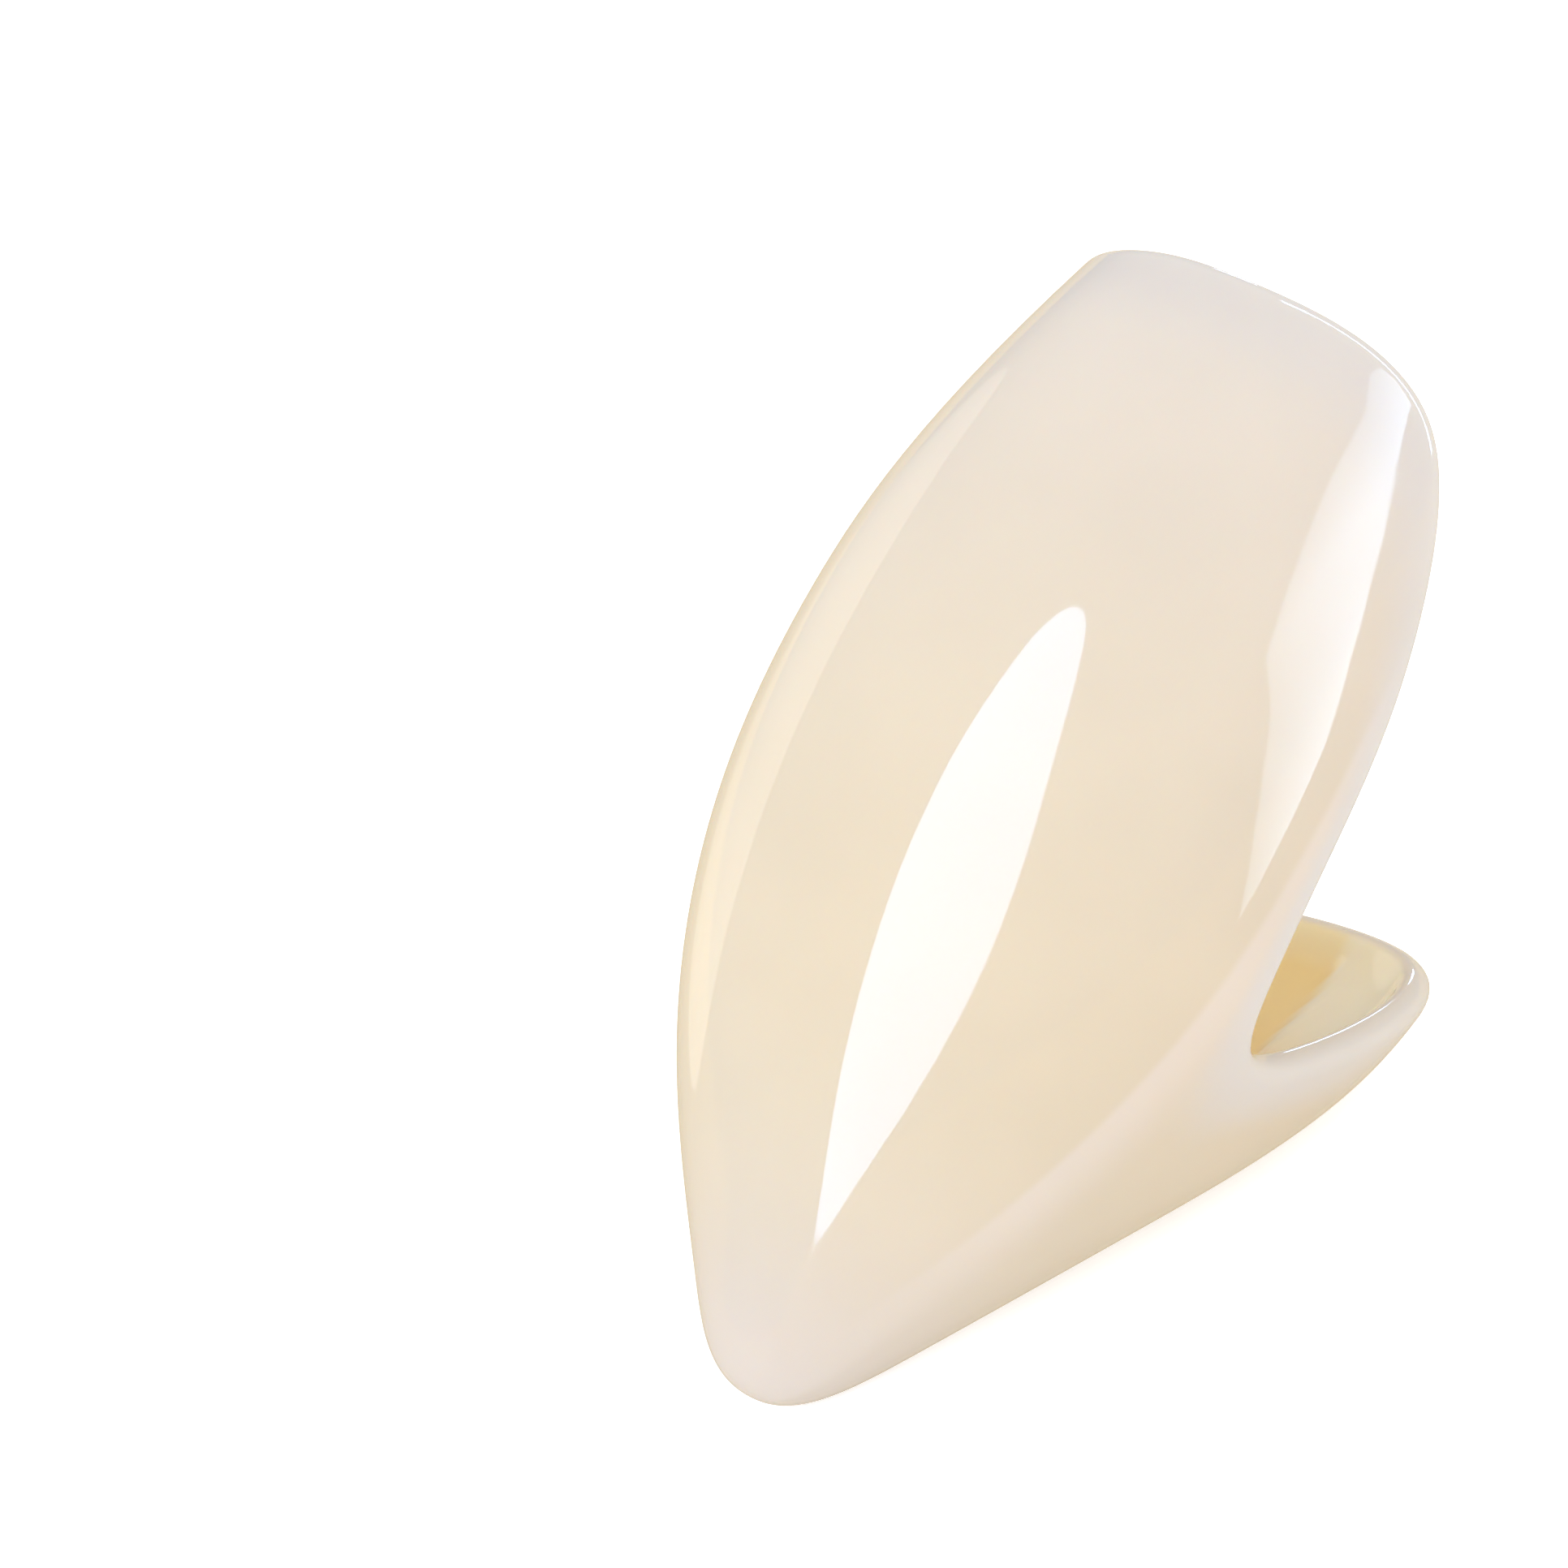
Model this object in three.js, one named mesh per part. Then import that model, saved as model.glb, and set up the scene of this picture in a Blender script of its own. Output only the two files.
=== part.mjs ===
import * as THREE from "three";
import { NURBSCurve } from "three/addons/curves/NURBSCurve.js";

// A slip-on vampire fang: one moulded hollow cap that is pushed over an upper canine.
// It is built standing on its tip, with the gum edge up, the front face towards -Y and
// the tongue side towards +Y, and is then laid on its back, where it comes to rest.
// Lengths are in millimetres and angles in degrees.

// Driving dimensions
const gumHeight = 17.4; // from the tip to the top of the gum edge in front
const notchHeight = 6.9; // from the tip to the bottom of the gap at each side
const lipHeight = 9.7; // from the tip to the top of the lip behind the tooth
const capWidth = 9.6; // across the widest place
const frontReach = 3.45; // from the tip forward to the fullest place of the front face
const backReach = 8.2; // from the tip back to the outside of the lip
const wall = 0.85; // thickness of the moulded wall
const rimWall = 0.5; // thickness of the rounded edge
const rimTaper = 2.6; // length over which the wall thins towards its edge
const solidTip = 4.6; // from the tip to the deepest place of the socket
const bowlHeight = 6.0; // from the tip to where the rounded end of the socket begins
const bowlSpread = 0.6; // how flat the socket's floor is, from 0 for a point to 1

// How finely the cap is divided
const columns = 80;
const skinRows = 28;
const rimRows = 4;
const wallRows = 11;
const bowlRows = 7;
const tipCrowding = 1.5; // above 1 draws the rows of the skin together at the tip

// Profile of the cap, drawn as smooth curves towards these rows, from the tip up.
// height is a share of gumHeight, width of half of capWidth, front of frontReach
// and back of backReach.
const profile = [
  { height: 0, width: 0, front: 0, back: 0 },
  { height: 0, width: 0.16, front: 0.23, back: 0.06 },
  { height: 0.075, width: 0.36, front: 0.37, back: 0.19 },
  { height: 0.24, width: 0.76, front: 0.79, back: 0.485 },
  { height: 0.425, width: 1.02, front: 1.02, back: 0.88 },
  { height: 0.63, width: 1, front: 1.01, back: 1.01 },
  { height: 0.83, width: 0.91, front: 0.7, back: 1.005 },
  { height: 1.04, width: 0.78, front: 0, back: 0.99 },
];

// Half of a level section, from the middle of the front to the middle of the back.
// side is a share of the half width and depth of the way from front to back.
const section = [
  { side: 0, depth: 0 },
  { side: 0.53, depth: 0.06 },
  { side: 0.99, depth: 0.37 },
  { side: 0.93, depth: 0.57 },
  { side: 0.7, depth: 0.985 },
  { side: 0, depth: 1 },
];

// Half of the edge of the opening. around goes from 0 at the middle of the front to 180
// at the middle of the back. rise is the share of the way up from the side gap to the top
// of the gum edge, or of the lip. start is where the grid line that ends here leaves the tip.
const edge = [
  { around: 0, top: gumHeight, rise: 1.015, start: 0 },
  { around: 28, top: gumHeight, rise: 1, start: 12 },
  { around: 51, top: gumHeight, rise: 0.985, start: 24 },
  { around: 72, top: gumHeight, rise: 0.91, start: 38 },
  { around: 88, top: gumHeight, rise: 0.74, start: 52 },
  { around: 96, top: gumHeight, rise: 0.505, start: 66 },
  { around: 93, top: gumHeight, rise: 0.245, start: 80 },
  { around: 98, top: gumHeight, rise: 0.045, start: 93 },
  { around: 110, top: lipHeight, rise: -0.05, start: 107 },
  { around: 120, top: lipHeight, rise: 0.13, start: 120 },
  { around: 132, top: lipHeight, rise: 0.48, start: 133 },
  { around: 145, top: lipHeight, rise: 0.79, start: 148 },
  { around: 159, top: lipHeight, rise: 0.95, start: 163 },
  { around: 180, top: lipHeight, rise: 1, start: 180 },
];

const degree = 3; // of every smooth curve here
const turn = 360; // degrees all the way around

function clampedCurve(points) {
  const spans = points.length - degree;
  const knots = [];
  for (let i = -degree; i <= spans + degree; i += 1) {
    knots.push(Math.min(Math.max(i, 0), spans));
  }
  return new NURBSCurve(degree, knots, points);
}

// A closed curve. The points repeat one ahead of the start and two past the end.
function closedCurve(points) {
  const knots = points.map((point, i) => i);
  for (let i = 0; i <= degree; i += 1) {
    knots.push(points.length + i);
  }
  return new NURBSCurve(degree, knots, points, degree, points.length);
}

const pull = (x, y, z) => new THREE.Vector4(x, y, z, 1);

const frontLine = clampedCurve(
  profile.map((row) => pull((row.width * capWidth) / 2, -row.front * frontReach, row.height * gumHeight)),
);
const backLine = clampedCurve(
  profile.map((row) => pull((row.width * capWidth) / 2, row.back * backReach, row.height * gumHeight)),
);

function sectionCurve() {
  const half = section.map((row) => pull(row.side, row.depth, 0));
  const mirrored = section.slice(1, -1).map((row) => pull(-row.side, row.depth, 0));
  const ring = [...half, ...mirrored.reverse()];
  const before = ring[ring.length - 1];
  return closedCurve([before, ...ring, ring[0], ring[1]]);
}

function edgeCurve() {
  const heightOf = (row) => notchHeight + row.rise * (row.top - notchHeight);
  const half = edge.map((row) => pull(row.around, heightOf(row), row.start));
  const mirrored = edge
    .slice(1, -1)
    .reverse()
    .map((row) => pull(turn - row.around, heightOf(row), turn - row.start));
  const before = pull(-edge[1].around, heightOf(edge[1]), -edge[1].start);
  const last = pull(turn, heightOf(edge[0]), turn);
  const after = pull(turn + edge[1].around, heightOf(edge[1]), turn + edge[1].start);
  return closedCurve([before, ...half, ...mirrored, last, after]);
}

const outline = sectionCurve();
const rim = edgeCurve();

// The drawn section runs a little inside its rows, so it is stretched to fill its box.
function reachOf(curve) {
  const box = new THREE.Box3().setFromPoints(curve.getPoints(240));
  return { side: box.max.x, front: box.min.y, depth: box.max.y - box.min.y };
}

const reach = reachOf(outline);

// A point of the outer skin: around in degrees, along from 0 at the tip to 1 at the top.
function skinPoint(around, along) {
  const turns = (((around % turn) + turn) % turn) / turn;
  const flat = outline.getPoint(turns);
  const front = frontLine.getPoint(along);
  const back = backLine.getPoint(along);
  const side = flat.x / reach.side;
  const depth = (flat.y - reach.front) / reach.depth;
  return new THREE.Vector3(front.x * side, front.y + (back.y - front.y) * depth, front.z);
}

// How far the skin moves for one degree around, and for a whole step along.
function skinSlopes(around, along) {
  const step = 0.5;
  const rise = 0.001;
  const across = skinPoint(around + step, along).sub(skinPoint(around - step, along));
  const upward = skinPoint(around, along + rise).sub(skinPoint(around, along - rise));
  return { across: across.divideScalar(2 * step), upward: upward.divideScalar(2 * rise) };
}

function skinNormal(around, along) {
  const { across, upward } = skinSlopes(around, along);
  return across.cross(upward).normalize();
}

// The share along the profile at which the skin reaches a height.
function alongAt(height) {
  let low = 0;
  let high = 1;
  for (let i = 0; i < 40; i += 1) {
    const middle = (low + high) / 2;
    if (frontLine.getPoint(middle).z < height) {
      low = middle;
    } else {
      high = middle;
    }
  }
  return (low + high) / 2;
}

// Where a grid line ends: half the edge's thickness short of the drawn edge, so that the
// rounding that follows reaches it. outward lies in the skin and points into the opening.
function edgeEnd(place) {
  const drawn = rim.getPoint(place);
  const along = alongAt(drawn.y);
  const { across, upward } = skinSlopes(drawn.x, along);
  const normal = across.clone().cross(upward).normalize();
  const nudge = 0.001;
  const spotAt = (share) => {
    const spot = rim.getPoint((share + 1) % 1);
    return skinPoint(spot.x, alongAt(spot.y));
  };
  const outward = normal
    .clone()
    .cross(spotAt(place + nudge).sub(spotAt(place - nudge)))
    .normalize();
  const back = outward.clone().multiplyScalar(-rimWall / 2);
  const [aa, au, uu] = [across.dot(across), across.dot(upward), upward.dot(upward)];
  const [ba, bu] = [back.dot(across), back.dot(upward)];
  const area = aa * uu - au * au;
  return {
    start: drawn.z,
    around: drawn.x + (ba * uu - bu * au) / area,
    along: along + (bu * aa - ba * au) / area,
    outward,
  };
}

// A grid line runs from the tip to its end at the edge. It climbs first and turns towards
// the edge late, so that it meets the upright side edges squarely.
function gridLine(end) {
  const bend = 2.5;
  return (share) => {
    const around = end.start + (end.around - end.start) * share ** bend;
    return { around, along: end.along * share };
  };
}

const bowlAlong = alongAt(bowlHeight);
const socketFloor = new THREE.Vector3(0, skinPoint(0, alongAt(solidTip)).y / 2, solidTip);
socketFloor.y += skinPoint(turn / 2, alongAt(solidTip)).y / 2;

// One column of points: up the outer skin, over the rounded edge and down into the socket.
function columnPoints(index) {
  const end = edgeEnd((index + 0.5) / columns);
  const line = gridLine(end);
  const points = [];
  for (let row = 1; row <= skinRows; row += 1) {
    const { around, along } = line((row / skinRows) ** tipCrowding);
    points.push(skinPoint(around, along));
  }

  const edgePoint = points[points.length - 1];
  const normal = skinNormal(end.around, end.along);
  for (let row = 1; row < rimRows; row += 1) {
    const swing = (Math.PI * row) / rimRows;
    const inward = (Math.cos(swing) - 1) * (rimWall / 2);
    const beyond = Math.sin(swing) * (rimWall / 2);
    points.push(edgePoint.clone().addScaledVector(normal, inward).addScaledVector(end.outward, beyond));
  }

  const wallPoint = (share) => {
    const { around, along } = line(share);
    const outer = skinPoint(around, along);
    const growth = THREE.MathUtils.smoothstep(outer.distanceTo(edgePoint), 0, rimTaper);
    const thickness = THREE.MathUtils.lerp(rimWall, wall, growth);
    return outer.addScaledVector(skinNormal(around, along), -thickness);
  };
  const ringShare = bowlAlong / end.along;
  for (let row = 0; row <= wallRows; row += 1) {
    points.push(wallPoint(THREE.MathUtils.lerp(1, ringShare, row / wallRows)));
  }

  const ring = points[points.length - 1];
  const slope = ring.clone().sub(wallPoint(ringShare + 0.01)).normalize();
  const level = new THREE.Vector3(ring.x, ring.y, socketFloor.z);
  const bowl = new THREE.CubicBezierCurve3(
    ring,
    ring.clone().addScaledVector(slope, (bowlHeight - solidTip) / 2),
    socketFloor.clone().lerp(level, bowlSpread),
    socketFloor,
  );
  for (let row = 1; row < bowlRows; row += 1) {
    points.push(bowl.getPoint(row / bowlRows));
  }
  return points;
}

function capGeometry() {
  const grid = Array.from({ length: columns }, (unused, index) => columnPoints(index));
  const rows = grid[0].length;
  const corners = [skinPoint(0, 0), socketFloor, ...grid.flat()];
  const at = (column, row) => 2 + (column % columns) * rows + row;
  const faces = [];
  for (let column = 0; column < columns; column += 1) {
    const next = column + 1;
    faces.push(0, at(next, 0), at(column, 0));
    for (let row = 0; row < rows - 1; row += 1) {
      faces.push(at(column, row), at(next, row), at(next, row + 1));
      faces.push(at(column, row), at(next, row + 1), at(column, row + 1));
    }
    faces.push(at(column, rows - 1), at(next, rows - 1), 1);
  }
  const geometry = new THREE.BufferGeometry().setFromPoints(corners);
  geometry.setIndex(faces);
  geometry.computeVertexNormals();
  return geometry;
}

// The middle of the solid's volume.
function centreOfMass(geometry) {
  const place = geometry.getAttribute("position");
  const index = geometry.getIndex();
  const [a, b, c] = [new THREE.Vector3(), new THREE.Vector3(), new THREE.Vector3()];
  const sum = new THREE.Vector3();
  let volume = 0;
  for (let i = 0; i < index.count; i += 3) {
    a.fromBufferAttribute(place, index.getX(i));
    b.fromBufferAttribute(place, index.getX(i + 1));
    c.fromBufferAttribute(place, index.getX(i + 2));
    const part = a.dot(b.clone().cross(c)) / 6;
    volume += part;
    sum.addScaledVector(a.clone().add(b).add(c), part / 4);
  }
  return sum.divideScalar(volume);
}

// The angle about X at which the cap lies still on its back, with its weight over the
// place where it touches the ground.
function restingAngle(geometry) {
  const place = geometry.getAttribute("position");
  const centre = centreOfMass(geometry);
  const corner = new THREE.Vector3();
  const axis = new THREE.Vector3(1, 0, 0);
  const overhang = (angle) => {
    const lowest = new THREE.Vector3(0, 0, Infinity);
    for (let i = 0; i < place.count; i += 1) {
      corner.fromBufferAttribute(place, i).applyAxisAngle(axis, angle);
      if (corner.z < lowest.z) {
        lowest.copy(corner);
      }
    }
    return centre.clone().applyAxisAngle(axis, angle).y - lowest.y;
  };
  let upright = THREE.MathUtils.degToRad(-20);
  let flat = THREE.MathUtils.degToRad(-75);
  for (let i = 0; i < 40; i += 1) {
    const middle = (upright + flat) / 2;
    if (overhang(middle) > 0) {
      upright = middle;
    } else {
      flat = middle;
    }
  }
  return (upright + flat) / 2;
}

const moulded = new THREE.MeshStandardMaterial({ color: 0xefe0c8, roughness: 0.16, metalness: 0 });
const cap = new THREE.Mesh(capGeometry(), moulded);
cap.name = "fang_cap";
cap.rotation.x = restingAngle(cap.geometry);

// The origin is on the ground under the middle of the cap.
const group = new THREE.Group();
group.add(cap);
group.updateMatrixWorld(true);
const bounds = new THREE.Box3().setFromObject(cap, true);
cap.position.set(0, -(bounds.min.y + bounds.max.y) / 2, -bounds.min.z);

export default group;
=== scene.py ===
"""A slip-on vampire fang cap of moulded acrylic, lying on its back in a white photo studio."""

from math import cos, pi, radians, sin

import bpy
from mathutils import Matrix, Vector


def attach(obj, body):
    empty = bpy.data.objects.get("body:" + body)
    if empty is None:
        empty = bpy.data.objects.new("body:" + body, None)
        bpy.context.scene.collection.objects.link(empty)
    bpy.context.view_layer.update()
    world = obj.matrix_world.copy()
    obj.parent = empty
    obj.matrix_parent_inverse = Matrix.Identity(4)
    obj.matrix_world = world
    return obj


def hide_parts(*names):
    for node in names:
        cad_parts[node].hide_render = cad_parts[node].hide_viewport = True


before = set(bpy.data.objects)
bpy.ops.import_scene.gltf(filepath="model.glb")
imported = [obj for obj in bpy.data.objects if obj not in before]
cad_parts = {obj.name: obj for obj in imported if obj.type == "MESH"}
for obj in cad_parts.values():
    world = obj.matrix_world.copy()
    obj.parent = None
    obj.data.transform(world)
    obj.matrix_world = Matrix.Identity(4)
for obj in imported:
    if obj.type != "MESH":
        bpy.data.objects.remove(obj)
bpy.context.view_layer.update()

MM = 0.001
TURN = 360  # degrees all the way around

# Sizes of the cap in millimetres, standing on its tip with its front towards -Y
GUM_HEIGHT = 17.4
NOTCH_HEIGHT = 6.9
LIP_HEIGHT = 9.7
CAP_WIDTH = 9.6
FRONT_REACH = 3.45  # how far the front stands out from the tip's axis
BACK_REACH = 8.2
WALL = 0.85
RIM_WALL = 0.5
RIM_TAPER = 2.6  # how far from the edge the wall reaches its full thickness
SOLID_TIP = 4.6  # height of the lowest place in the socket
BOWL_HEIGHT = 6.0  # where the socket's wall ends and its bowl begins
BOWL_SPREAD = 0.6  # 0 makes the bowl pointed, and 1 makes its floor flattest
RESTING_ANGLE = -48.46  # degrees about X from standing on its tip to lying on its back
TIP = Vector((0, -6.66, 0.32)) * MM  # where the tip is when the cap lies on its back

# How finely the cap is moulded
COLUMNS = 260
ROWS = {"Skin rows": 110, "Rim rows": 16, "Wall rows": 50, "Bowl rows": 24}
RIM_SQUARENESS = 0.85  # 1 makes the edge half round, and less than 1 makes its corners crisper
TIP_CROWDING = 1.5  # above 1 draws the rows of the skin together at the tip
LATE_TURN = 2.5  # above 1 lets a column climb first and turn towards the edge late
CURVE_FINENESS = 160  # points between two rows of a drawn curve
SLOPE_STEPS = {"Across": (1.0, 0), "Upward": (0, 0.004)}  # degrees around, share along
EDGE_STEP = 0.004  # share of the edge between a place and the two that give its direction
RING_STEP = 0.01  # share of a column between the bowl's ring and the place that gives its slope
HALVINGS = 24  # how often the search for a height halves its range
WELD_DISTANCE = 0.00002  # closes the seams between the sheets, and nothing else

# Profile from the tip up: shares of the gum height, half width, front and back reach
PROFILE = [
    {"height": 0, "width": 0, "front": 0, "back": 0},
    {"height": 0, "width": 0.16, "front": 0.23, "back": 0.06},
    {"height": 0.075, "width": 0.36, "front": 0.37, "back": 0.19},
    {"height": 0.24, "width": 0.76, "front": 0.79, "back": 0.485},
    {"height": 0.425, "width": 1.02, "front": 1.02, "back": 0.88},
    {"height": 0.63, "width": 1, "front": 1.01, "back": 1.01},
    {"height": 0.83, "width": 0.91, "front": 0.7, "back": 1.005},
    {"height": 1.04, "width": 0.78, "front": 0, "back": 0.99},
]

# Half of a level section, from the middle of the front to the middle of the back
SECTION = [
    {"side": 0, "depth": 0},
    {"side": 0.53, "depth": 0.06},
    {"side": 0.99, "depth": 0.37},
    {"side": 0.93, "depth": 0.57},
    {"side": 0.7, "depth": 0.985},
    {"side": 0, "depth": 1},
]

# Half of the edge of the opening, from the middle of the front to the middle of the back.
# rise is the share of the way from the side gap up to top, and start is where the grid
# line that ends here leaves the tip.
EDGE = [
    {"around": 0, "top": GUM_HEIGHT, "rise": 1.015, "start": 0},
    {"around": 28, "top": GUM_HEIGHT, "rise": 1, "start": 12},
    {"around": 51, "top": GUM_HEIGHT, "rise": 0.985, "start": 24},
    {"around": 72, "top": GUM_HEIGHT, "rise": 0.91, "start": 38},
    {"around": 88, "top": GUM_HEIGHT, "rise": 0.74, "start": 52},
    {"around": 96, "top": GUM_HEIGHT, "rise": 0.505, "start": 66},
    {"around": 93, "top": GUM_HEIGHT, "rise": 0.245, "start": 80},
    {"around": 98, "top": GUM_HEIGHT, "rise": 0.045, "start": 93},
    {"around": 110, "top": LIP_HEIGHT, "rise": -0.05, "start": 107},
    {"around": 120, "top": LIP_HEIGHT, "rise": 0.13, "start": 120},
    {"around": 132, "top": LIP_HEIGHT, "rise": 0.48, "start": 133},
    {"around": 145, "top": LIP_HEIGHT, "rise": 0.79, "start": 148},
    {"around": 159, "top": LIP_HEIGHT, "rise": 0.95, "start": 163},
    {"around": 180, "top": LIP_HEIGHT, "rise": 1, "start": 180},
]

# The channel down the middle of the lip's inside, which leaves a soft crease on each side
CHANNEL_DEPTH = 0.06
CHANNEL_HALF_WIDTH = 0.66  # at the lip's height, and wider further down
CHANNEL_SPREAD = 0.25  # how much it gains for each length down
CHANNEL_SIDE = 0.11  # half the width over which its sides slope
CHANNEL_BEHIND = (1.5, 3.5)  # it is only in the back of the cap, past these depths
CHANNEL_RUN_IN = 0.5  # how far from the edge it reaches its depth

# The cap's colours. The stops are shares of the way from the tip to the gum edge.
BODY_TONES = [
    (0.0, "#EEE5DE"),
    (0.16, "#F1E2C9"),
    (0.35, "#EDDEC2"),
    (0.6, "#EDE0C9"),
    (0.85, "#ECE1D2"),
    (1.0, "#E9E1D8"),
]
# painted shade: the grey of the room coming through the thin wall near the edge
THIN_EDGE_PAINTED_GREY = "#E1DBD7"
THIN_REACH = 1.7  # mm from the edge at which the wall no longer looks thin
THIN_EDGE_PAINTED_SHARE = 0.8
BEHIND_PAINTED_SHADE_TONE = "#F3F1F1"  # painted shade: what the body's tones are multiplied by behind the widest line
# painted reflection: a paler streak along the widest line, where the gloss would catch the horizon
REFLECTED_STREAK_TONE = "#F3E7E2"
REFLECTED_STREAK_SHARE = 0.4
# Painted light inside the socket: the amber of light trapped deeper down and in the channel
INSIDE_TONE = "#FBF1DF"
INSIDE_FROM = 0.8  # share of the way over the rounded edge
TRAPPED_LIGHT_AMBER = "#F9DEA2"

# Where the tones change, in millimetres, from where a change begins to where it is whole.
# The widest line runs up each side of the cap, a little further back the higher it gets.
WIDEST_LINE_LEAN = 0.235  # how far back it goes for each length up
WIDEST_LINE_FOOT = -0.85  # how far back it is at the tip's height
BEHIND_RANGE = (-3.4, 1.6)  # past the widest line, and so are the two of the painted reflection streak
REFLECTED_STREAK_BEGINS = (-0.06, 0.12)
REFLECTED_STREAK_FADES = (0.1, 1.5)
REFLECTED_STREAK_OFF_TIP = (0.5, 4.5)  # above the tip
CHANNEL_TONE_BEGINS = (0.2, 0.9)  # from the edge of the opening, and so is the next
DEEP_RANGE = (1.4, 4.5)

# The finish, with its sizes in millimetres
CLOUD_SIZE = 3.0
CLOUD_RANGE = (0.35, 0.65)  # the noise between which a cloud goes from dark to light
CLOUD_STRENGTH = 0.015
WAVE_SIZE = 1.6
WAVE_DEPTH = 0.006
LIGHT_SINKS = 0.9  # how far red light travels in the body, and green and blue less far


def feed(tree, node, feeds):
    """Feed a node's inputs, by name or by number, with values, links or whole nodes."""
    ready = [socket for socket in node.inputs if socket.enabled]
    for key, value in feeds.items():
        if isinstance(key, int):
            socket = ready[key]
        else:
            socket = next(socket for socket in ready if socket.name == key)
        if isinstance(value, bpy.types.Node):
            value = next(output for output in value.outputs if output.enabled)
        if isinstance(value, bpy.types.NodeSocket):
            tree.links.new(value, socket)
        else:
            socket.default_value = value


def add(tree, kind, feeds=None, **settings):
    """Add one node with its settings, and feed its inputs."""
    node = tree.nodes.new(kind)
    for setting, value in settings.items():
        setattr(node, setting, value)
    feed(tree, node, feeds or {})
    return node


def colour(code):
    """An sRGB hex colour as the linear colour that a shader takes."""
    shares = [int(code[i : i + 2], 16) / 255 for i in (1, 3, 5)]
    linear = [s / 12.92 if s <= 0.04045 else ((s + 0.055) / 1.055) ** 2.4 for s in shares]
    return (*linear, 1)


def grey(level):
    """A grey of a linear level, as a shader takes it."""
    return (level, level, level, 1)


# The drawn curves that the cap is moulded from


def draw_curve(name, points, clamped):
    """A smooth curve drawn towards points. A clamped one begins and ends on them."""
    line = bpy.data.curves.new(name, "CURVE")
    line.dimensions = "3D"
    spline = line.splines.new("NURBS")
    spline.points.add(len(points) - 1)
    for spot, point in zip(spline.points, points):
        spot.co = (*point, 1)
    spline.order_u = 4
    spline.use_endpoint_u = clamped
    spline.resolution_u = CURVE_FINENESS
    drawn = bpy.data.objects.new(name, line)
    bpy.context.scene.collection.objects.link(drawn)
    return drawn


def draw_profile(name, side, reach):
    """The line up a corner of the box that each level section fills."""
    direction = -1 if side == "front" else 1
    points = []
    for row in PROFILE:
        width = direction * row["width"] * CAP_WIDTH / 2
        depth = direction * row[side] * reach
        points.append((width * MM, depth * MM, row["height"] * GUM_HEIGHT * MM))
    return draw_curve(name, points, clamped=True)


def draw_section():
    """The level section, as shares of its box from the front left to the back right."""
    half = [(row["side"], row["depth"], 0) for row in SECTION]
    mirrored = [(-side, depth, 0) for side, depth, flat in reversed(half[1:-1])]
    ring = half + mirrored
    ring = [ring[-1], *ring, ring[0], ring[1]]
    drawn = draw_curve("level section", ring, clamped=False)
    bpy.context.view_layer.update()
    wire = drawn.evaluated_get(bpy.context.evaluated_depsgraph_get()).to_mesh()
    sides = [corner.co.x for corner in wire.vertices]
    depths = [corner.co.y for corner in wire.vertices]
    for spot in drawn.data.splines[0].points:
        side = (spot.co.x - min(sides)) / (max(sides) - min(sides))
        depth = (spot.co.y - min(depths)) / (max(depths) - min(depths))
        spot.co = (side, depth, 0, 1)
    return drawn


def draw_edge():
    """The edge of the opening: how far around in degrees, its height, and its start."""
    half = []
    for row in EDGE:
        height = NOTCH_HEIGHT + row["rise"] * (row["top"] - NOTCH_HEIGHT)
        half.append((row["around"], height * MM, row["start"]))
    mirrored = [(TURN - around, height, TURN - start) for around, height, start in reversed(half[:-1])]
    before = (-half[1][0], half[1][1], -half[1][2])
    after = (TURN + half[1][0], half[1][1], TURN + half[1][2])
    return draw_curve("edge of the opening", [before, *half, *mirrored, after], clamped=False)


# The node groups that mould the cap


def start_group(name, takes, gives):
    """A node group with named inputs and outputs, and the sockets of its inputs."""
    group = bpy.data.node_groups.new(name, "GeometryNodeTree")
    for label, kind in takes.items():
        group.interface.new_socket(label, in_out="INPUT", socket_type="NodeSocket" + kind)
    for label, kind in gives.items():
        group.interface.new_socket(label, in_out="OUTPUT", socket_type="NodeSocket" + kind)
    return group, add(group, "NodeGroupInput").outputs


def curve_reading():
    """Reads a drawn curve at a share of its way, between the two points nearest to it."""
    takes = {"Curve": "Object", "Share": "Float"}
    group, given = start_group("Read a drawn curve", takes, {"Place": "Vector"})
    drawn = add(group, "GeometryNodeObjectInfo", {"Object": given["Curve"]}).outputs["Geometry"]
    dots = add(group, "GeometryNodeCurveToPoints", {"Curve": drawn}, mode="EVALUATED").outputs["Points"]
    count = add(group, "GeometryNodeAttributeDomainSize", {"Geometry": dots}, component="POINTCLOUD")
    last = add(group, "ShaderNodeMath", {0: count.outputs["Point Count"], 1: 1}, operation="SUBTRACT")
    exact = add(group, "ShaderNodeMath", {0: given["Share"], 1: last}, operation="MULTIPLY")
    before = add(group, "ShaderNodeMath", {0: exact}, operation="FLOOR")
    after = add(group, "ShaderNodeMath", {0: before, 1: 1}, operation="ADD")
    part = add(group, "ShaderNodeMath", {0: exact, 1: before}, operation="SUBTRACT")
    spot = add(group, "GeometryNodeInputPosition")
    ends = []
    for index in (before, after):
        feeds = {"Geometry": dots, "Value": spot, "Index": index}
        ends.append(add(group, "GeometryNodeSampleIndex", feeds, data_type="FLOAT_VECTOR", clamp=True))
    place = add(group, "ShaderNodeMix", {"Factor": part, "A": ends[0], "B": ends[1]}, data_type="VECTOR")
    add(group, "NodeGroupOutput", {"Place": place})
    return group


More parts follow.
